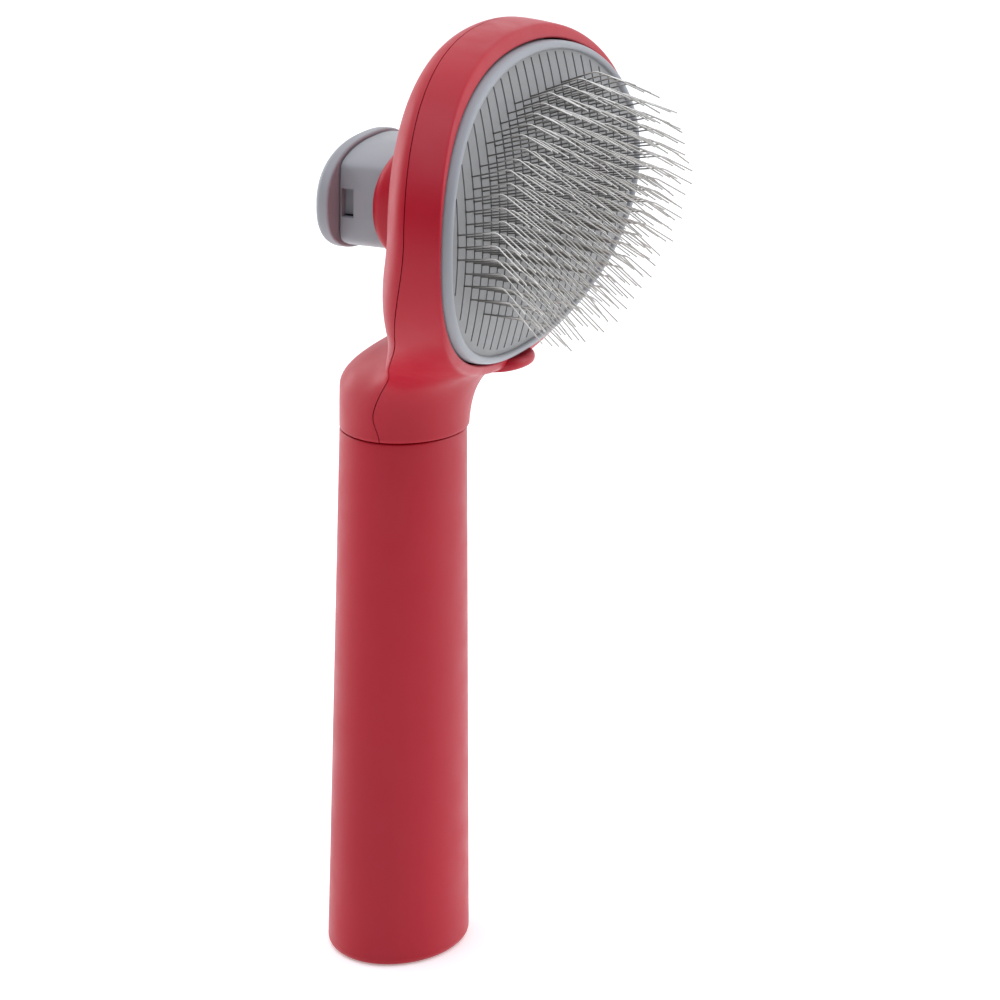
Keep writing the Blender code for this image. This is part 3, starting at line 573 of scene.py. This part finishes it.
def plastic(name, colour, roughness, grain=0.25, variation=0.06):
    """Moulded plastic: a fine spark-eroded grain, faint flow marks and slightly uneven gloss."""
    nodes = Nodes(name)
    nodes.shader.inputs["Specular IOR Level"].default_value = PLASTIC_SHINE
    flow = nodes.noise(28.0, 2.0, (1.0, 1.0, 0.35))
    pale, deep = tint(colour, 1 + variation), tint(colour, 1 - variation)
    nodes.feed("Base Color", nodes.mix(nodes.between(flow, 0.0, 1.0), deep, pale))
    patches = nodes.noise(160.0, 4.0)
    nodes.feed("Roughness", nodes.between(patches, roughness - 0.05, roughness + 0.06))
    fine = nodes.bump(nodes.noise(2600.0, 2.0), grain, 0.02 * MM)
    nodes.feed("Normal", nodes.bump(nodes.noise(45.0, 2.0), 0.08, 0.6 * MM, fine))
    return nodes.material


def rubber(name, colour):
    nodes = Nodes(name)
    nodes.feed("Base Color", nodes.mix(nodes.noise(900.0), tint(colour, 0.8), tint(colour, 1.3)))
    nodes.feed("Roughness", nodes.between(nodes.noise(200.0), 0.7, 0.9))
    nodes.feed("Normal", nodes.bump(nodes.noise(3000.0), 0.3, 0.03 * MM))
    return nodes.material


def steel(name, colour, roughness, drawn):
    """Drawn or plated steel: fine lines along the metal and small changes of gloss."""
    nodes = Nodes(name)
    nodes.shader.inputs["Metallic"].default_value = 1.0
    nodes.feed("Base Color", nodes.mix(nodes.noise(700.0), tint(colour, 0.86), tint(colour, 1.08)))
    nodes.feed("Roughness", nodes.between(nodes.noise(1800.0, 3.0, drawn), roughness - 0.08, roughness + 0.1))
    nodes.feed("Normal", nodes.bump(nodes.noise(5200.0, 2.0, drawn), 0.12, 0.01 * MM))
    return nodes.material


def above_slats(nodes):
    """How far a point stands in front of the slats."""
    place = nodes.tree.nodes.new("ShaderNodeSeparateXYZ")
    nodes.tree.links.new(nodes.place, place.inputs["Vector"])
    rise = nodes.calculate("SUBTRACT", place.outputs["Z"], DOME_Z)
    curve = nodes.calculate("DIVIDE", nodes.calculate("MULTIPLY", rise, rise), 2 * DOME_RADIUS)
    return nodes.calculate("SUBTRACT", nodes.calculate("ADD", curve, FACE_Y), place.outputs["Y"])


def pin_wire(name, colour):
    """Drawn wire with painted shade: dull and dark near the slats, brighter towards the tip."""
    nodes = Nodes(name)
    nodes.shader.inputs["Metallic"].default_value = 1.0
    # Painted shade: the wire's colour darkens over the lower part of each pin, towards the slats.
    painted_shade_fade = nodes.between(above_slats(nodes), 0.0, 1.0, 0.55 * PIN_LOWER, 1.05 * PIN_LOWER)
    uneven = nodes.calculate("MULTIPLY", painted_shade_fade, nodes.between(nodes.noise(700.0), 0.85, 1.0))
    nodes.feed("Base Color", nodes.mix(uneven, tint(colour, 0.38), tint(colour, 1.12)))
    nodes.feed("Roughness", nodes.between(nodes.noise(1800.0, 3.0, (1.0, 0.05, 1.0)), 0.26, 0.44))
    nodes.feed("Normal", nodes.bump(nodes.noise(5200.0, 2.0, (1.0, 0.05, 1.0)), 0.12, 0.01 * MM))
    return nodes.material


def floor_material():
    nodes = Nodes("studio_floor")
    nodes.feed("Base Color", nodes.mix(nodes.noise(6.0), tint(FLOOR, 0.99), FLOOR))
    nodes.feed("Roughness", nodes.between(nodes.noise(40.0), 0.75, 0.85))
    nodes.shader.inputs["Emission Color"].default_value = (1.0, 1.0, 1.0, 1.0)
    nodes.shader.inputs["Emission Strength"].default_value = FLOOR_GLOW
    return nodes.material


def finish_piece(item, name, material, body, slot, *replaced):
    item.name = name
    item.data.materials.clear()
    item.data.materials.append(material)
    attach(item, body)
    if replaced:
        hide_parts(*replaced)
    return item


# Pieces


def quarter(count):
    """Angles from 0 to a right angle, for a rounded edge."""
    return np.linspace(0, math.pi / 2, count)


def make_handle(material):
    """Tapered oval sleeve with a rounded foot, a softened top edge and its socket."""
    profile = [(FOOT_ROUND * (1 - math.sin(a)), FOOT_ROUND * (1 - math.cos(a))) for a in quarter(9)]
    profile += [(0.0, z) for z in np.linspace(*HANDLE_STRAIGHT_Z, 12)]
    for a in quarter(6):
        profile.append((EDGE_ROUND * (1 - math.cos(a)), HANDLE_LENGTH - EDGE_ROUND * (1 - math.sin(a))))
    rings = []
    for cut, z in profile:
        half = [blend(foot, top, z / HANDLE_LENGTH) - cut for foot, top in zip(HANDLE_FOOT, HANDLE_TOP)]
        rings.append(ellipse_ring(half, z, HANDLE_COUNT))
    socket = inset(SPIGOT, -SPIGOT_PLAY)
    socket_floor = JOINT_Z - SPIGOT_LENGTH - SPIGOT_ROOM
    rings.append(ellipse_ring(socket, HANDLE_LENGTH, HANDLE_COUNT))
    rings.append(ellipse_ring(socket, socket_floor, HANDLE_COUNT))
    rings.append(ellipse_ring(inset(HANDLE_FOOT, HANDLE_WALL), HANDLE_FLOOR, HANDLE_COUNT))
    item = smooth(loft("handle_skin", rings))
    return finish_piece(item, "handle_skin", material, "brush_body", "red_plastic", "handle")


def make_body():
    """Neck and head as one hollow solid, before the seam splits it."""
    lead, lead_length = SPIGOT_LEAD
    below = [
        ellipse_ring(inset(SPIGOT, lead), JOINT_Z - SPIGOT_LENGTH, BODY_COUNT),
        ellipse_ring(SPIGOT, JOINT_Z - SPIGOT_LENGTH + lead_length, BODY_COUNT),
        ellipse_ring(SPIGOT, JOINT_Z, BODY_COUNT),
    ]
    for a in np.linspace(0, math.pi / 3, 4):
        ring = body_ring(JOINT_Z, EDGE_ROUND * (1 - math.sin(a)), BODY_COUNT)
        ring[:, 2] += EDGE_ROUND * (1 - math.cos(a))
        below.append(ring)
    outer = body_loft("body", BODY_START_Z, 0.0, BODY_COUNT, BODY_STEPS, below)
    inner = body_loft("hollow", HOLLOW_START_Z, SHELL_WALL, HOLLOW_COUNT, HOLLOW_STEPS)
    return combine(outer, inner, "DIFFERENCE")


def finger_rest():
    """The tongue under the face, with a round tip, soft edges and an underside that rises forward."""
    root_y, tip_y = REST_Y
    bar = [(-REST_HALF_WIDTH, root_y), (REST_HALF_WIDTH, root_y)]
    for a in np.linspace(0, math.pi, 49):
        bar.append((REST_HALF_WIDTH * math.cos(a), tip_y + REST_TIP * (1 - math.sin(a))))
    rings = []
    for a in np.linspace(-math.pi / 2, math.pi / 2, 17):
        cut = REST_EDGE * (1 - math.cos(a))
        ring = []
        for x, y in bar:
            out = (root_y - y) / (root_y - tip_y)
            z = blend(blend(*REST_LOW_Z, out), REST_TOP_Z, (1 + math.sin(a)) / 2)
            ring.append((x * (1 - cut / REST_HALF_WIDTH), y + cut * out, z))
        rings.append(ring)
    return loft("finger_rest", rings)


def collar_profile():
    """(outward flare, share of the height) from the foot to the rim, and then in over the top."""
    profile = [(BOSS_FOOT * (1 - math.sin(a)), BOSS_FOOT_SHARE * (1 - math.cos(a))) for a in quarter(12)]
    profile += [(0.0, share) for share in BOSS_STRAIGHT]
    for a in quarter(10):
        profile.append((-BOSS_ROUND * (1 - math.cos(a)), BOSS_TURN + BOSS_TURN_RISE * math.sin(a)))
    profile.append((-BOSS_TOP, 1.0))
    return profile


def collar():
    """The domed collar round the button, lower above and below the button than at its two ends."""
    rings = []
    for flare, share in collar_profile():
        outline = oval_outline(inset(BOSS_HALF, -flare), BOSS_POWER, COLLAR_COUNT)
        drop = share * BOSS_DROP * (outline[:, 1] / BOSS_HALF[1]) ** 2
        y = blend(BOSS_BASE_Y, BOSS_RIM_Y, share) - drop
        rings.append(np.column_stack([outline[:, 0], y, KNOB_Z + outline[:, 1]]))
    return loft("collar", rings)


def passage():
    """The hole that the button slides in."""
    rings = knob_rings(inset(KNOB_BODY, -KNOB_PLAY), KNOB_FLAT + KNOB_PLAY, [(0, y) for y in PASSAGE_Y])
    return loft("passage", rings)


def make_shells(material):
    """Front and rear halves of one hollow body, parted at the seam."""
    body = make_body()
    front = copy_of(body, "front")
    combine(front, front_block(-SEAM_GAP / 2), "INTERSECT")
    combine(front, opening_cutter(), "DIFFERENCE")
    combine(front, finger_rest(), "UNION")
    smooth(front)
    finish_piece(front, "front_shell_skin", material, "brush_body", "red_plastic", "head_front_shell")
    rear = body
    combine(rear, front_block(SEAM_GAP / 2), "DIFFERENCE")
    combine(rear, opening_cutter(), "DIFFERENCE")
    combine(rear, collar(), "UNION")
    combine(rear, passage(), "DIFFERENCE")
    smooth(rear)
    finish_piece(rear, "rear_shell_skin", material, "brush_body", "red_plastic", "head_rear_shell")


def make_ring(material):
    """The raised rim, a soft roll in section, with the skirt that slides in the front shell."""
    profile = [(0.0, SKIRT_WALL), (0.0, RIM_UNDER)]
    for a in np.linspace(math.pi, 0, 17):
        rise = RIM_RISE * math.sin(a) ** RIM_FULLNESS
        profile.append((RIM_MIDDLE + RIM_HALF_WIDTH * math.cos(a), RIM_BASE - rise))
    profile.append((RIM_MIDDLE + RIM_HALF_WIDTH, RIM_UNDER))
    profile += [(SKIRT_WALL, RIM_BACK), (SKIRT_WALL, SKIRT_DEPTH), (0.0, SKIRT_DEPTH)]
    item = smooth(loft("ring", domed_sweep(RING_HALF, profile, RING_COUNT), closed=True), 40)
    return finish_piece(item, "ring_skin", material, "ejector", "pale_grey_plastic", "face_ring")


def slit_columns():
    """The x of every slit."""
    middle = (SLIT_COUNT - 1) / 2
    return [(column - middle) * SLIT_PITCH for column in range(SLIT_COUNT)]


def slit_reach(x):
    """Half the length of the slit at x."""
    return SLIT_HALF[1] * (1 - abs(x / SLIT_HALF[0]) ** OVAL_POWER) ** (1 / OVAL_POWER)


def slit_cutter(x):
    """A long narrow block with round ends."""
    half, reach = SLIT_WIDTH / 2, slit_reach(x)
    outline = []
    for end, first in ((1, 0.0), (-1, math.pi)):
        for a in np.linspace(first, first + math.pi, 7):
            outline.append((x + half * math.cos(a), HEAD_Z + end * (reach - half) + half * math.sin(a)))
    return loft("slit", [[(px, y, pz) for px, pz in outline] for y in SLIT_CUT_Y])


def make_slats(material):
    """The domed plate cut into slats."""
    half = inset(RING_HALF, SKIRT_WALL + SLAT_PLAY)
    rings = []
    for a in np.linspace(-SLAT_ANGLE, SLAT_ANGLE, SLAT_ROWS):
        height = half[1] * math.sin(math.radians(a))
        width = half[0] * (1 - abs(height / half[1]) ** OVAL_POWER) ** (1 / OVAL_POWER)
        z = FACE_Z + height
        front, back = dome_y(0.0, z), dome_y(SLAT_THICKNESS, z)
        rings.append([(-width, front, z), (width, front, z), (width, back, z), (-width, back, z)])
    plate = loft("slats", rings)
    for x in slit_columns():
        combine(plate, slit_cutter(x), "DIFFERENCE")
    smooth(plate)
    return finish_piece(plate, "slats_skin", material, "ejector", "slat_grey_plastic", "slat_plate")


def pin_roots():
    """(x, z) of every wire, in rows that are staggered from column to column."""
    for column, x in enumerate(slit_columns()):
        reach = slit_reach(x) - PIN_MARGIN
        offset = PIN_PITCH / 2 if column % 2 else 0.0
        first = math.ceil((-reach - offset) / PIN_PITCH)
        last = math.floor((reach - offset) / PIN_PITCH)
        for row in range(first, last + 1):
            yield x, HEAD_Z + row * PIN_PITCH + offset


def pin_direction(lean, sway):
    across = math.cos(sway)
    return Vector((math.sin(sway), -math.cos(lean) * across, math.sin(lean) * across))


def pin_points(x, z, random):
    """Root to tip, with a rounded bend. Each wire is a little off its neighbours, as bent wire is."""
    lean = math.asin((z - DOME_Z) / DOME_RADIUS) + PIN_LIFT
    splay = PIN_SPLAY * x / RING_HALF[0]
    out = pin_direction(lean, random.normal(0, PIN_ROOT_SWAY))
    hang_lean = lean - PIN_BEND + random.normal(0, PIN_TIP_SWAY)
    hang = pin_direction(hang_lean, splay + random.normal(0, PIN_TIP_SWAY))
    surface = Vector((x, dome_y(0.0, z), z))
    bend = surface + out * PIN_LOWER
    points = [surface - out * PIN_START_DEPTH]
    for share in np.linspace(0, 1, 6):
        before, after = bend - out * PIN_CORNER * (1 - share), bend + hang * PIN_CORNER * share
        points.append(before.lerp(after, share))
    points.append(bend + hang * (PIN_UPPER + random.normal(0, PIN_LENGTH_SWAY)))
    return points


def make_pins(material):
    """Every wire as a spline of one curve, turned into a mesh."""
    random = np.random.default_rng(7)
    curve = bpy.data.curves.new("pins", "CURVE")
    curve.dimensions = "3D"
    curve.bevel_depth = WIRE
    curve.bevel_resolution = 2
    curve.use_fill_caps = True
    for x, z in pin_roots():
        points = pin_points(x, z, random)
        spline = curve.splines.new("POLY")
        spline.points.add(len(points) - 1)
        for slot, point in zip(spline.points, points):
            slot.co = (*point, 1.0)
    drawn = bpy.data.objects.new("pins_curve", curve)
    bpy.context.scene.collection.objects.link(drawn)
    bpy.context.view_layer.update()
    graph = bpy.context.evaluated_depsgraph_get()
    mesh = bpy.data.meshes.new_from_object(drawn.evaluated_get(graph))
    wires = bpy.data.objects.new("pins_skin", mesh)
    bpy.context.scene.collection.objects.link(wires)
    bpy.data.objects.remove(drawn, do_unlink=True)
    smooth(wires, 50)
    return finish_piece(wires, "pins_skin", material, "brush_body", "pin_steel", "pins")


def flange():
    """The oval plate that keeps the stem inside the head."""
    outline = oval_outline(FLANGE_HALF, OVAL_POWER, FLANGE_COUNT)
    rings = []
    for y in FLANGE_Y:
        rings.append(np.column_stack([outline[:, 0], np.full(FLANGE_COUNT, y), KNOB_Z + outline[:, 1]]))
    return loft("flange", rings)


def add_legs(stem):
    """Four legs from the flange forward to the slats."""
    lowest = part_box("plunger")[0]
    half_x, half_z = LEG_HALF
    for side in (-1, 1):
        for rise in (-1, 1):
            x, z = side * LEG_COLUMN * SLIT_PITCH, HEAD_Z + rise * LEG_RISE
            front = max(dome_y(SLAT_THICKNESS, z + rise * half_z) + LEG_PLAY, lowest[1])
            leg = box("leg", (x - half_x, front, z - half_z), (x + half_x, LEG_BACK_Y, z + half_z))
            combine(stem, leg, "UNION")


def make_plunger(material):
    """The button's oval stem, hollow but for a web, with its flange, legs and snap windows."""
    edge = [(0.0, FLANGE_Y[0]), (0.0, STEM_REACH_Y), *STEM_EDGE]
    stem = loft("stem", knob_rings(KNOB_BODY, KNOB_FLAT, edge))
    combine(stem, flange(), "UNION")
    add_legs(stem)
    for ends in STEM_ROOMS_Y:
        rings = knob_rings(inset(KNOB_BODY, STEM_WALL), KNOB_FLAT - STEM_WALL, [(0, y) for y in ends])
        combine(stem, loft("room", rings), "DIFFERENCE")
    near = (-WINDOW_X, WINDOW_Y[0], KNOB_Z - WINDOW_HALF_Z)
    far = (WINDOW_X, WINDOW_Y[1], KNOB_Z + WINDOW_HALF_Z)
    combine(stem, box("window", near, far), "DIFFERENCE")
    smooth(stem)
    return finish_piece(stem, "button_stem_skin", material, "ejector", "pale_grey_plastic", "plunger")


def cap_profile():
    """(inset, rise) from the middle of the underside, round the rim and into the dish."""
    rim_in, rim_up = CAP_RIM_ROUND
    profile = [(9.0 * MM, 0.0), (CAP_UNDER_ROUND, 0.0)]
    for a in np.linspace(0.2, math.pi / 2, 6):
        profile.append((CAP_UNDER_ROUND * (1 - math.sin(a)), CAP_UNDER_ROUND * (1 - math.cos(a))))
    for a in quarter(9):
        profile.append((rim_in * (1 - math.cos(a)), CAP_SIDE + rim_up * math.sin(a)))
    return profile + list(CAP_DISH)


def make_cap(material):
    """The thumb disc, with a rounded rim, a faint dish and the two hooks that snap into the stem."""
    rings = knob_rings(KNOB_CAP, 0.0, [(cut, CAP_UNDER_Y + rise) for cut, rise in cap_profile()])
    disc = loft("cap", rings)
    reach = KNOB_FLAT - STEM_WALL - KNOB_PLAY
    for side in (-1, 1):
        ends = sorted((side * (reach - HOOK_THICKNESS), side * reach))
        near = (ends[0], HOOK_Y[0], KNOB_Z - HOOK_HALF_Z)
        far = (ends[1], HOOK_Y[1], KNOB_Z + HOOK_HALF_Z)
        combine(disc, box("hook", near, far), "UNION")
    smooth(disc)
    return finish_piece(disc, "button_cap_skin", material, "ejector", "pale_grey_plastic", "button_cap")


def dress_frame(looks):
    """Better materials for the nodes that stay as they are."""
    for name, material in looks.items():
        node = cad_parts[name]
        for slot in node.material_slots:
            slot.material = material


# Stage, light and camera


def make_stage():
    """The floor that the brush stands on."""
    corners = [(x * FLOOR_REACH, y * FLOOR_REACH, 0) for x, y in ((-1, -1), (1, -1), (1, 1), (-1, 1))]
    floor = mesh_object("floor", corners, [(0, 1, 2, 3)])
    floor.location.z = CAD_BOX[0][2] - FLOOR_DROP
    floor.data.materials.append(floor_material())


def softbox(name, place, aim, size, power, colour=(1.0, 1.0, 1.0)):
    light = bpy.data.lights.new(name, "AREA")
    light.shape = "RECTANGLE"
    light.size, light.size_y = size
    light.energy = power
    light.color = colour
    item = bpy.data.objects.new(name, light)
    item.location = place
    item.rotation_euler = (Vector(aim) - Vector(place)).to_track_quat("-Z", "Y").to_euler()
    bpy.context.scene.collection.objects.link(item)


def make_world():
    """A studio that is bright behind the brush and dim in front of it."""
    world = bpy.data.worlds.new("studio")
    world.use_nodes = True
    tree = world.node_tree
    coordinates = tree.nodes.new("ShaderNodeTexCoord")
    along = tree.nodes.new("ShaderNodeVectorMath")
    along.operation = "DOT_PRODUCT"
    along.inputs[1].default_value = DIM_SIDE
    tree.links.new(coordinates.outputs["Generated"], along.inputs[0])
    level = tree.nodes.new("ShaderNodeMapRange")
    level.interpolation_type = "SMOOTHSTEP"
    set_range(level, WORLD_FADE, (WORLD_BRIGHT, WORLD_DIM))
    tree.links.new(along.outputs["Value"], level.inputs["Value"])
    background = tree.nodes["Background"]
    background.inputs["Color"].default_value = WORLD_TINT
    tree.links.new(level.outputs["Result"], background.inputs["Strength"])
    bpy.context.scene.world = world


def make_light():
    softbox("top_box", (-0.35, -0.05, 1.25), LIGHT_AIM, (1.2, 1.2), 9.0, (0.84, 0.90, 1.0))
    softbox("left_box", (0.15, 1.10, 0.35), LIGHT_AIM, (0.7, 1.2), 6.0)
    softbox("right_box", (0.55, -0.95, 0.35), LIGHT_AIM, (0.7, 1.2), 7.0, (0.93, 0.95, 1.0))


def make_camera():
    data = bpy.data.cameras.new("camera")
    data.lens = LENS
    data.sensor_width = SENSOR_WIDTH
    data.clip_start = CLIP_START
    item = bpy.data.objects.new("camera", data)
    sine, cosine = math.sin(CAMERA_AZIMUTH), math.cos(CAMERA_AZIMUTH)
    level = math.cos(CAMERA_ELEVATION)
    back = Vector((sine * level, -cosine * level, math.sin(CAMERA_ELEVATION)))
    right = Vector((cosine, sine, 0.0))
    up = back.cross(right)
    tilted_right = right * math.cos(CAMERA_ROLL) + up * math.sin(CAMERA_ROLL)
    tilted_up = up * math.cos(CAMERA_ROLL) - right * math.sin(CAMERA_ROLL)
    turn = Matrix((tilted_right, tilted_up, back)).transposed()
    place = Vector(CAMERA_TARGET) + back * CAMERA_DISTANCE
    item.matrix_world = Matrix.Translation(place) @ turn.to_4x4()
    bpy.context.scene.collection.objects.link(item)
    bpy.context.scene.camera = item


red = plastic("red_plastic", RED, 0.40)
pale = plastic("pale_grey_plastic", PALE_GREY, 0.42)
slat = plastic("slat_grey_plastic", SLAT_GREY, 0.5, 0.35)
dark = plastic("inner_plastic", DARK_GREY, 0.55)
pad = rubber("pad_rubber", DARK_GREY)
wire = pin_wire("pin_steel", WIRE_STEEL)
zinc = steel("screw_steel", STEEL, 0.35, (1.0, 1.0, 1.0))

make_handle(red)
make_shells(red)
make_ring(pale)
make_slats(slat)
make_pins(wire)
make_plunger(pale)
make_cap(pale)
looks = {"pin_pad": pad, "pin_carrier": dark, "return_spring": zinc}
looks.update({name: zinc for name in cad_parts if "_screw_" in name})
dress_frame(looks)

make_stage()
make_world()
make_light()
make_camera()
bpy.context.scene.view_settings.view_transform = "Standard"
